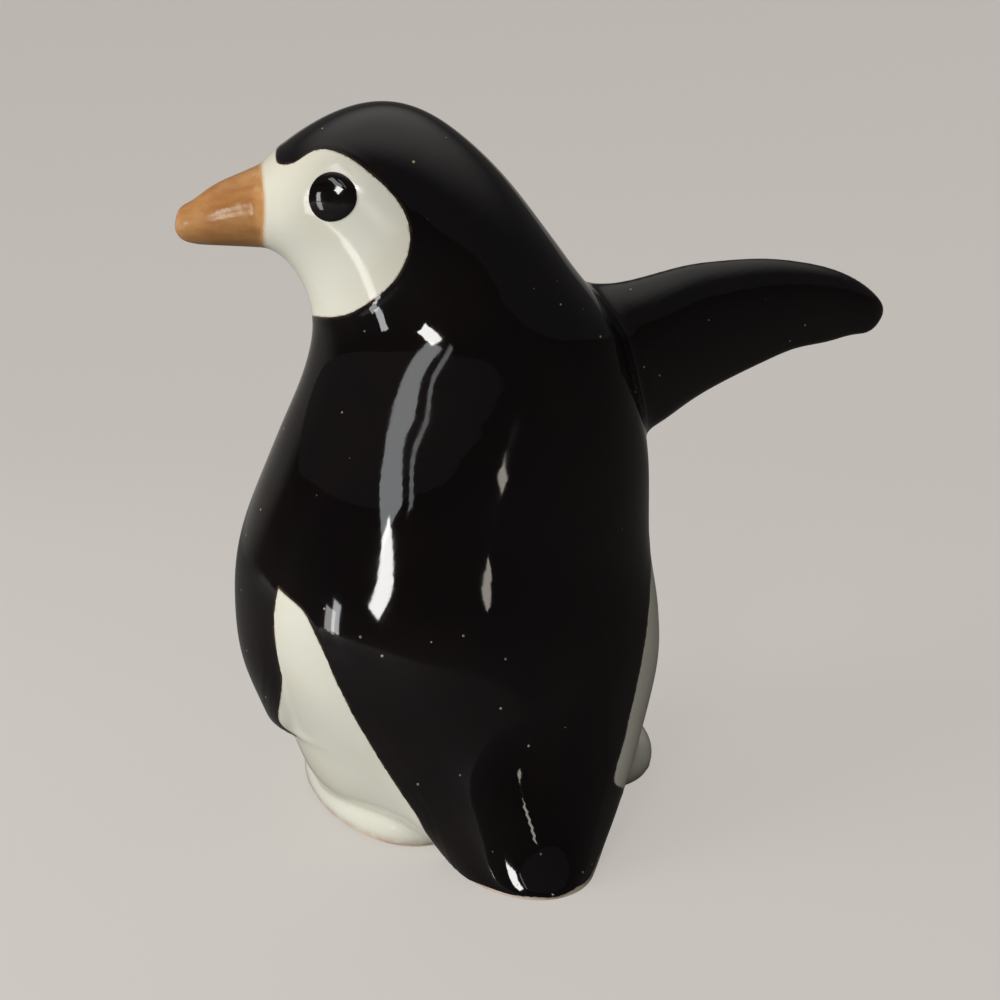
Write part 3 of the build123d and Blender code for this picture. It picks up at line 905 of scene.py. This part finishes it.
def fired_clay(colours):
    """Bare fired clay with a fine grain."""
    material, tree, shader = new_material("fired_clay", colours.clay, 0.75)
    body = blend(tree, spread(tree, noise(tree, 0.003, 5), 0.35, 0.7), colours.clay, colours.dark_clay)
    tree.links.new(body, shader.inputs["Base Color"])
    uneven(tree, shader, [(noise(tree, 0.0004, 4), 0.00003)])
    return material


def studio_floor(colours):
    """The plain floor and backdrop, pale to the camera, and on its far side pale in reflections too."""
    material, tree, shader = new_material("studio_floor", colours.floor, 0.7)
    shader.inputs["Specular IOR Level"].default_value = 0.1
    rays = add_node(tree, "ShaderNodeLightPath").outputs
    place = add_node(tree, "ShaderNodeTexCoord").outputs["Object"]
    back = add_node(tree, "ShaderNodeSeparateXYZ", {"Vector": place}).outputs["Y"]
    far_side = spread(tree, back, *FAR_SIDE, FAR_SIDE_LEVEL, 0.0)
    shown = calculate(tree, "MAXIMUM", rays["Is Camera Ray"], calculate(
        tree, "MULTIPLY", far_side, calculate(
            tree, "MAXIMUM", rays["Is Glossy Ray"], rays["Is Transmission Ray"])))
    glow = add_node(tree, "ShaderNodeEmission", {"Color": (*colours.backdrop, 1), "Strength": shown})
    total = add_node(tree, "ShaderNodeAddShader", {0: shader.outputs["BSDF"], 1: glow.outputs["Emission"]})
    tree.links.new(total.outputs["Shader"], tree.nodes["Material Output"].inputs["Surface"])
    return material


def length(name, description, default, **more):
    """A length in metres that a user may change."""
    return bpy.props.FloatProperty(name=name, description=description, default=default, min=0.0,
                                   subtype="DISTANCE", unit="LENGTH", precision=5, **more)


def colour(name, description, default):
    """A colour that a user may change."""
    return bpy.props.FloatVectorProperty(name=name, description=description, default=default, size=3,
                                         min=0.0, max=1.0, subtype="COLOR")


class FigurineForm(bpy.types.PropertyGroup):
    """How the skin of the figurine is made."""

    mesh_step: length("Mesh step", "Width of the skin's faces", 0.00030)
    soften: length("Softening", "How far the glaze rounds every edge", 0.00022)
    glaze: length("Glaze", "Thickness of the coats", 0.0003)
    bare_rim: length("Bare rim", "Strip left free of glaze above the base", 0.0003)
    tail_fillet: length("Tail fillet", "Rounding where the tail runs into the back", 0.0022)
    back_fillet: length("Back fillet", "More of that rounding on the left, above the base", 0.0038)
    neck_softening: length("Neck softening", "Rounding between the body and the head", 0.0020)
    back_softening: length("Back softening", "How far the back is evened above the tail", 0.0030)
    wing_fillet: length("Flipper fillet", "Rounding at the root of the raised flipper", 0.0020)
    arm_fillet: length("Left flipper fillet", "Rounding round the lowered flipper", 0.0012)
    foot_fillet: length("Foot fillet", "Rounding where a leg meets its foot", 0.0005)
    bead: length("Edge bead", "How far the black stands up along its edge", 0.00006)
    waviness: length("Waviness", "How uneven the brushed glaze is", 0.000007)
    speck: length("Speck", "Largest radius of a pinhole in the black glaze", 0.00013)
    speck_density: bpy.props.FloatProperty(
        name="Speck density", description="Pinholes for each square metre of black glaze",
        default=26000.0, min=0.0)


class FigurineColours(bpy.types.PropertyGroup):
    """Colours of the clay, the glazes and the floor."""

    black: colour("Black", "Black glaze where it is thick", (0.0036, 0.0024, 0.0028))
    warm_black: colour("Warm black", "Black glaze with a touch of brown", (0.0075, 0.0036, 0.0034))
    thin_black: colour("Thin black", "Black glaze where it thins over white", (0.055, 0.028, 0.018))
    cream: colour("Cream", "White glaze", (0.760, 0.755, 0.660))
    warm_cream: colour("Warm cream", "White glaze where it is thin", (0.740, 0.715, 0.600))
    orange: colour("Orange", "Glaze of the beak", (0.520, 0.260, 0.092))
    deep_orange: colour("Deep orange", "Glaze of the beak where it is thick", (0.410, 0.175, 0.055))
    pale_orange: colour("Pale orange", "Glaze of the beak where the brush lifted", (0.620, 0.390, 0.190))
    clay: colour("Clay", "Bare fired clay", (0.640, 0.540, 0.440))
    # dark_clay: colour("Dark clay", "Darker bare clay, mixed in by noise", (0.480, 0.340, 0.240))
    dark_clay: colour("Dark clay", "Bare clay in its hollows", (0.480, 0.340, 0.240))
    pinhole: colour("Pinhole", "Clay at the bottom of a pinhole", (0.150, 0.130, 0.115))
    floor: colour("Floor", "Studio floor", (0.220, 0.214, 0.204))
    backdrop: colour("Backdrop", "What the camera sees of the floor's paleness", (0.440, 0.415, 0.385))


class FigurineStudio(bpy.types.PropertyGroup):
    """The floor, the lamps and the camera."""

    camera_place: bpy.props.FloatVectorProperty(
        name="Camera place", description="Where the camera stands", size=3, subtype="TRANSLATION",
        unit="LENGTH", default=(0.03727, 0.10132, 0.0485))
    camera_azimuth: bpy.props.FloatProperty(
        name="Camera azimuth", description="Way round the figurine", subtype="ANGLE",
        default=radians(158))
    camera_pitch: bpy.props.FloatProperty(
        name="Camera pitch", description="How far the camera looks down", subtype="ANGLE",
        default=radians(10.1))
    camera_lens: bpy.props.FloatProperty(
        name="Lens", description="Focal length for a 36 mm frame", subtype="DISTANCE_CAMERA",
        default=40.25)
    floor_radius: length("Floor radius", "From the figurine to where the floor starts to rise", 0.30)
    world_level: bpy.props.FloatProperty(
        name="Low level", description="Light from all sides", default=0.09, min=0.0)
    sky_level: bpy.props.FloatProperty(
        name="High level", description="Light from above", default=0.8, min=0.0)


class Figurine:
    """The skin and the materials that the pieces share, made once."""

    skin = None
    materials = {}

    @classmethod
    def ready_skin(cls, form):
        """The skin, made at its first use."""
        if cls.skin is None:
            cls.skin = figurine_skin(form)
            divide_skin(cls.skin, form)
            cls.finish_surface(form)
        return cls.skin

    @classmethod
    def finish_surface(cls, form):
        """Raises the black along its edges, makes the glaze uneven and stores what the materials read."""
        skin = cls.skin
        edges = edge_points(skin, BLACK_COATS, WHITE_COATS)
        beak_edges = edge_points(skin, ORANGE_COATS, WHITE_COATS + BLACK_COATS)
        count = len(skin.points)
        normal = skin.normals(skin.points)
        skin.edge = distances(skin.points, edges)
        skin.beak_edge = distances(skin.points, beak_edges)
        skin.rim = skin.points[:, 2] - form.bare_rim / MM
        first, *others = (
            height * np.exp(-((skin.edge - place) / width) ** 2) for place, width, height in EDGE_RIDGES)
        strong = ramp(skin.points[:, 0], *RIDGES_ACROSS) * ramp(skin.points[:, 2], *RIDGES_DOWN)
        first = first * (FIRST_RIDGE_SHARE + (1 - FIRST_RIDGE_SHARE) * strong)
        bead = form.bead / MM * (first + sum(others) * strong)
        waves = sum(np.sin(skin.points @ np.array(way) + turn) for way, turn in GLAZE_WAVES)
        wave = form.waviness / MM * waves / len(GLAZE_WAVES) ** 0.5
        thin = RIM_THINNING * np.exp(-np.maximum(skin.rim, 0) / RIM_THINNING_REACH)
        skin.shapes = {}
        for family, lift in ((BLACK_COATS, bead), (WHITE_COATS, 0), (ORANGE_COATS, 0)):
            faces = skin.faces[np.isin(skin.zone, [ZONES[name] for name in family])]
            points = skin.points + normal * (lift + wave - thin)[:, None]
            skin.shapes[family] = (points, normals_of(points, faces, count))

    @classmethod
    def material(cls, maker, colours):
        """The material that a function makes, made at its first use."""
        if maker.__name__ not in cls.materials:
            cls.materials[maker.__name__] = maker(colours)
        return cls.materials[maker.__name__]


def add_coats(context, family, maker, slot, nodes):
    """One closed shell of glaze for each coat of a family."""
    scene = context.scene
    skin = Figurine.ready_skin(scene.figurine_form)
    material = Figurine.material(maker, scene.figurine_colours)
    points, normals = skin.shapes[family]
    for name in family:
        faces = skin.faces[skin.zone == ZONES[name]]
        if not len(faces):
            raise RuntimeError(f"{name} has no faces")
        mesh = shell_mesh(name, points, faces, normals, scene.figurine_form.glaze / MM,
                          {"edge": skin.edge, "rim": skin.rim, "beak_edge": skin.beak_edge})
        add_piece(name, mesh, material, slot, *nodes[name])


class FIGURINE_OT_black_coats(bpy.types.Operator):
    """Brushes the black glaze over the back, the head and both flippers"""

    bl_idname = "figurine.black_coats"
    bl_label = "Black Glaze"

    def execute(self, context):
        add_coats(context, BLACK_COATS, black_glaze, "black_glaze", {
            "back_coat": ["back_glaze"], "hood_coat": ["hood_glaze"],
            "right_flipper_coat": ["right_flipper_glaze"], "left_flipper_coat": ["left_flipper_glaze"]})
        return {"FINISHED"}


class FIGURINE_OT_white_coats(bpy.types.Operator):
    """Brushes the cream white glaze over the belly, the face and both feet"""

    bl_idname = "figurine.white_coats"
    bl_label = "White Glaze"

    def execute(self, context):
        add_coats(context, WHITE_COATS, white_glaze, "white_glaze", {
            "belly_coat": ["belly_glaze"], "face_coat": ["face_glaze"],
            "left_foot_coat": ["left_foot_glaze"], "right_foot_coat": ["right_foot_glaze"]})
        return {"FINISHED"}


class FIGURINE_OT_beak_coat(bpy.types.Operator):
    """Brushes the orange glaze over the beak"""

    bl_idname = "figurine.beak_coat"
    bl_label = "Orange Glaze"

    def execute(self, context):
        add_coats(context, ORANGE_COATS, orange_glaze, "orange_glaze", {"beak_coat": ["beak_glaze"]})
        return {"FINISHED"}


def speck_tree(material):
    """Geometry nodes that scatter small flat domes over a surface, square to it."""
    tree = bpy.data.node_groups.new("scatter_specks", "GeometryNodeTree")
    face = tree.interface
    face.new_socket("Geometry", in_out="INPUT", socket_type="NodeSocketGeometry")
    inputs = (("Density", "NodeSocketFloat", 1000.0), ("Radius", "NodeSocketFloat", 0.0001),
              ("Flatness", "NodeSocketFloat", 0.25), ("Seed", "NodeSocketInt", 1))
    for name, kind, default in inputs:
        face.new_socket(name, in_out="INPUT", socket_type=kind).default_value = default
    face.new_socket("Geometry", in_out="OUTPUT", socket_type="NodeSocketGeometry")
    given = tree.nodes.new("NodeGroupInput").outputs
    points = add_node(tree, "GeometryNodeDistributePointsOnFaces", {
        "Mesh": given["Geometry"], "Density": given["Density"], "Seed": given["Seed"]})
    dome = add_node(tree, "GeometryNodeMeshIcoSphere", {"Radius": given["Radius"], "Subdivisions": 2})
    flat = add_node(tree, "ShaderNodeCombineXYZ", {"X": 1.0, "Y": 1.0, "Z": given["Flatness"]})
    dome = add_node(tree, "GeometryNodeTransform", {
        "Geometry": dome.outputs["Mesh"], "Scale": flat.outputs["Vector"]})
    uneven_size = add_node(tree, "FunctionNodeRandomValue", {2: 0.3, 3: 1.0, "Seed": given["Seed"]})
    size = add_node(tree, "ShaderNodeMath", {0: uneven_size.outputs[1], 1: 2.0}, operation="POWER")
    placed = add_node(tree, "GeometryNodeInstanceOnPoints", {
        "Points": points.outputs["Points"], "Instance": dome.outputs["Geometry"],
        "Rotation": points.outputs["Rotation"], "Scale": size.outputs["Value"]})
    whole = add_node(tree, "GeometryNodeRealizeInstances", {"Geometry": placed.outputs["Instances"]})
    painted = add_node(tree, "GeometryNodeSetMaterial", {
        "Geometry": whole.outputs["Geometry"], "Material": material})
    tree.links.new(painted.outputs["Geometry"], tree.nodes.new("NodeGroupOutput").inputs["Geometry"])
    return tree


class FIGURINE_OT_pinholes(bpy.types.Operator):
    """Scatters the pinholes in the black glaze, where the pale clay shows"""

    bl_idname = "figurine.pinholes"
    bl_label = "Pinholes"

    def execute(self, context):
        form = context.scene.figurine_form
        skin = Figurine.ready_skin(form)
        material = Figurine.material(pinhole_clay, context.scene.figurine_colours)
        tree = speck_tree(material)
        points = skin.shapes[BLACK_COATS][0]
        faces = skin.faces[np.isin(skin.zone, [ZONES[name] for name in BLACK_COATS])]
        used, faces = np.unique(faces, return_inverse=True)
        mesh = bpy.data.meshes.new("pinhole_places")
        mesh.from_pydata((points[used] * MM).tolist(), [], faces.reshape(-1, 3).tolist())
        holder = bpy.data.objects.new("pinhole_places", mesh)
        context.scene.collection.objects.link(holder)
        modifier = holder.modifiers.new("specks", "NODES")
        modifier.node_group = tree
        values = {"Density": form.speck_density, "Radius": form.speck,
                  "Flatness": SPECK_FLATNESS, "Seed": SPECK_SEED}
        for item in tree.interface.items_tree:
            if item.item_type == "SOCKET" and item.in_out == "INPUT" and item.name in values:
                modifier[item.identifier] = values[item.name]
        whole = bpy.data.meshes.new_from_object(holder.evaluated_get(context.evaluated_depsgraph_get()))
        bpy.data.objects.remove(holder)
        if not whole.polygons:
            raise RuntimeError("no pinholes were made")
        whole.polygons.foreach_set("use_smooth", np.ones(len(whole.polygons), bool))
        add_piece("pinholes", whole, material, "fired_clay")
        return {"FINISHED"}


class FIGURINE_OT_eyes(bpy.types.Operator):
    """Dots the eyes on both sides of the face"""

    bl_idname = "figurine.eyes"
    bl_label = "Eyes"

    def execute(self, context):
        scene = context.scene
        skin = Figurine.ready_skin(scene.figurine_form)
        material = Figurine.material(eye_glaze, scene.figurine_colours)
        for name, node, side in (("right_eye_dot", "right_eye", 1), ("left_eye_dot", "left_eye", -1)):
            add_piece(name, eye_mesh(name, skin, side), material, "eye_glaze", node)
        return {"FINISHED"}


def eye_mesh(name, skin, side):
    """A low dome with a slightly uneven outline, seated on the face."""
    rings, steps = 14, 72
    turn = np.arange(steps) * 2 * pi / steps
    wave = sum(height * np.sin(waves * turn + start) for waves, height, start in EYE_WAVES)
    outline = EYE_WIDTH / 2 * (1 + wave)
    middle = PIVOT + NAPE_WAY * EYE_BACK + UP * EYE_UP + side * ACROSS_WAY * NECK_DEPTH / 2
    points = [middle]
    heights = [1.0]
    for ring in range(1, rings + 1):
        share = sin(ring / rings * pi / 2)
        for angle, radius in zip(turn, outline):
            points.append(middle + (NAPE_WAY * cos(angle) + UP * sin(angle)) * radius * share)
            heights.append(1 - share ** 2 if ring < rings else 0.0)
    points, heights = np.array(points), np.array(heights)
    for _ in range(12):
        off = skin.grid.sample(skin.values, points)
        points = points - side * ACROSS_WAY * off[:, None] * 0.8
    normals = skin.normals(points)
    top = points + normals * (EYE_SEAT + EYE_DOME * np.sqrt(np.clip(heights, 0, 1)))[:, None]
    bottom = points - normals * EYE_SEAT
    faces = []
    for i in range(steps):
        after = (i + 1) % steps
        faces.append((0, 1 + i, 1 + after))
        for ring in range(rings - 1):
            low, high = 1 + ring * steps, 1 + (ring + 1) * steps
            faces.append((low + i, high + i, high + after, low + after))
    count = len(points)
    if side < 0:
        faces = [face[::-1] for face in faces]
    under = [tuple(count + v for v in face[::-1]) for face in faces]
    last = 1 + (rings - 1) * steps
    rim = []
    for i in range(steps):
        after = (i + 1) % steps
        quad = (last + after, last + i, count + last + i, count + last + after)
        rim.append(quad if side > 0 else quad[::-1])
    mesh = bpy.data.meshes.new(name)
    mesh.from_pydata((np.concatenate([top, bottom]) * MM).tolist(), [], faces + under + rim)
    mesh.polygons.foreach_set("use_smooth", np.ones(len(mesh.polygons), bool))
    return mesh


class FIGURINE_OT_clay(bpy.types.Operator):
    """Gives the bare clay of the cast and modelled pieces its finish"""

    bl_idname = "figurine.clay"
    bl_label = "Clay"

    def execute(self, context):
        material = Figurine.material(fired_clay, context.scene.figurine_colours)
        for name in CLAY_NODES:
            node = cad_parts[name]
            node.data.materials.clear()
            node.data.materials.append(material)
        return {"FINISHED"}


class FIGURINE_OT_studio(bpy.types.Operator):
    """Sets up the floor, the lamps and the camera"""

    bl_idname = "figurine.studio"
    bl_label = "Studio"

    def execute(self, context):
        scene = context.scene
        studio, colours = scene.figurine_studio, scene.figurine_colours
        add_floor(studio, studio_floor(colours))
        world = bpy.data.worlds.new("studio")
        world.use_nodes = True
        tree = world.node_tree
        background = tree.nodes["Background"]
        background.inputs["Color"].default_value = (1.0, 0.98, 0.95, 1)
        way = add_node(tree, "ShaderNodeTexCoord").outputs["Generated"]
        rise = add_node(tree, "ShaderNodeSeparateXYZ", {"Vector": way}).outputs["Z"]
        level = spread(tree, rise, SKY_START, 1.0, studio.world_level, studio.sky_level)
        tree.links.new(level, background.inputs["Strength"])
        scene.world = world
        for row in LAMPS:
            add_lamp(*row)
        camera = bpy.data.objects.new("camera", bpy.data.cameras.new("camera"))
        scene.collection.objects.link(camera)
        camera.location = studio.camera_place
        camera.rotation_euler = (pi / 2 - studio.camera_pitch, 0, studio.camera_azimuth)
        camera.data.lens = studio.camera_lens
        camera.data.sensor_width = SENSOR_WIDTH
        camera.data.clip_start = NEAREST_SEEN
        scene.camera = camera
        scene.view_settings.view_transform = "Standard"
        return {"FINISHED"}


def add_lamp(name, lower, upper, width, brightness, tone):
    """A soft rectangular lamp between two ends, turned to the figurine and hidden from the camera."""
    low, high = (Vector((distance * cos(radians(way)), distance * sin(radians(way)), height))
                 for way, height, distance in (lower, upper))
    lamp = bpy.data.lights.new(name, "AREA")
    lamp.shape = "RECTANGLE"
    lamp.size, lamp.size_y = width, (high - low).length
    lamp.energy = brightness * pi * lamp.size * lamp.size_y
    lamp.color = tone
    holder = bpy.data.objects.new(name, lamp)
    bpy.context.scene.collection.objects.link(holder)
    place = (low + high) / 2
    facing = (place - Vector(LAMP_AIM)).normalized()
    side = (high - low).cross(facing).normalized()
    holder.matrix_world = Matrix((side, facing.cross(side), facing)).transposed().to_4x4()
    holder.location = place
    holder.visible_camera = False
    holder.visible_glossy = name not in UNREFLECTED


def add_floor(studio, material):
    """A round floor that rises smoothly at its far edge."""
    rings, steps = 40, 96
    points, faces = [], []
    rise = studio.floor_radius
    for ring in range(rings + 1):
        share = ring / rings
        radius = studio.floor_radius * min(share * 2, 1) + rise * sin(max(share * 2 - 1, 0) * pi / 2)
        height = rise * (1 - cos(max(share * 2 - 1, 0) * pi / 2))
        for step in range(steps):
            turn = 2 * pi * step / steps
            points.append((radius * cos(turn), radius * sin(turn), height))
    for ring in range(rings):
        for step in range(steps):
            after = (step + 1) % steps
            low, high = ring * steps, (ring + 1) * steps
            faces.append((low + step, high + step, high + after, low + after))
    mesh = bpy.data.meshes.new("floor")
    mesh.from_pydata(points, [], faces)
    mesh.polygons.foreach_set("use_smooth", np.ones(len(faces), bool))
    mesh.materials.append(material)
    floor = bpy.data.objects.new("floor", mesh)
    bpy.context.scene.collection.objects.link(floor)


class FIGURINE_PT_panel(bpy.types.Panel):
    """Lists the steps that build the figurine"""

    bl_idname = "FIGURINE_PT_panel"
    bl_label = "Penguin Figurine"
    bl_space_type = "VIEW_3D"
    bl_region_type = "UI"
    bl_category = "Figurine"

    def draw(self, context):
        for step in STEPS:
            self.layout.operator(step.bl_idname)
        for name in GROUPS:
            group = getattr(context.scene, name)
            box = self.layout.box()
            for key in group.bl_rna.properties.keys():
                if key not in ("rna_type", "name"):
                    box.prop(group, key)


STEPS = (
    FIGURINE_OT_clay, FIGURINE_OT_black_coats, FIGURINE_OT_white_coats, FIGURINE_OT_beak_coat,
    FIGURINE_OT_pinholes, FIGURINE_OT_eyes, FIGURINE_OT_studio,
)
GROUPS = {
    "figurine_form": FigurineForm, "figurine_colours": FigurineColours, "figurine_studio": FigurineStudio,
}


def register():
    for name, group in GROUPS.items():
        bpy.utils.register_class(group)
        setattr(bpy.types.Scene, name, bpy.props.PointerProperty(type=group))
    for step in STEPS + (FIGURINE_PT_panel,):
        bpy.utils.register_class(step)


def unregister():
    for step in (FIGURINE_PT_panel,) + STEPS[::-1]:
        bpy.utils.unregister_class(step)
    for name, group in GROUPS.items():
        delattr(bpy.types.Scene, name)
        bpy.utils.unregister_class(group)


def main():
    """Builds the figurine and its studio."""
    register()
    for step in STEPS:
        group, name = step.bl_idname.split(".")
        getattr(getattr(bpy.ops, group), name)()


if __name__ == "__main__":
    main()
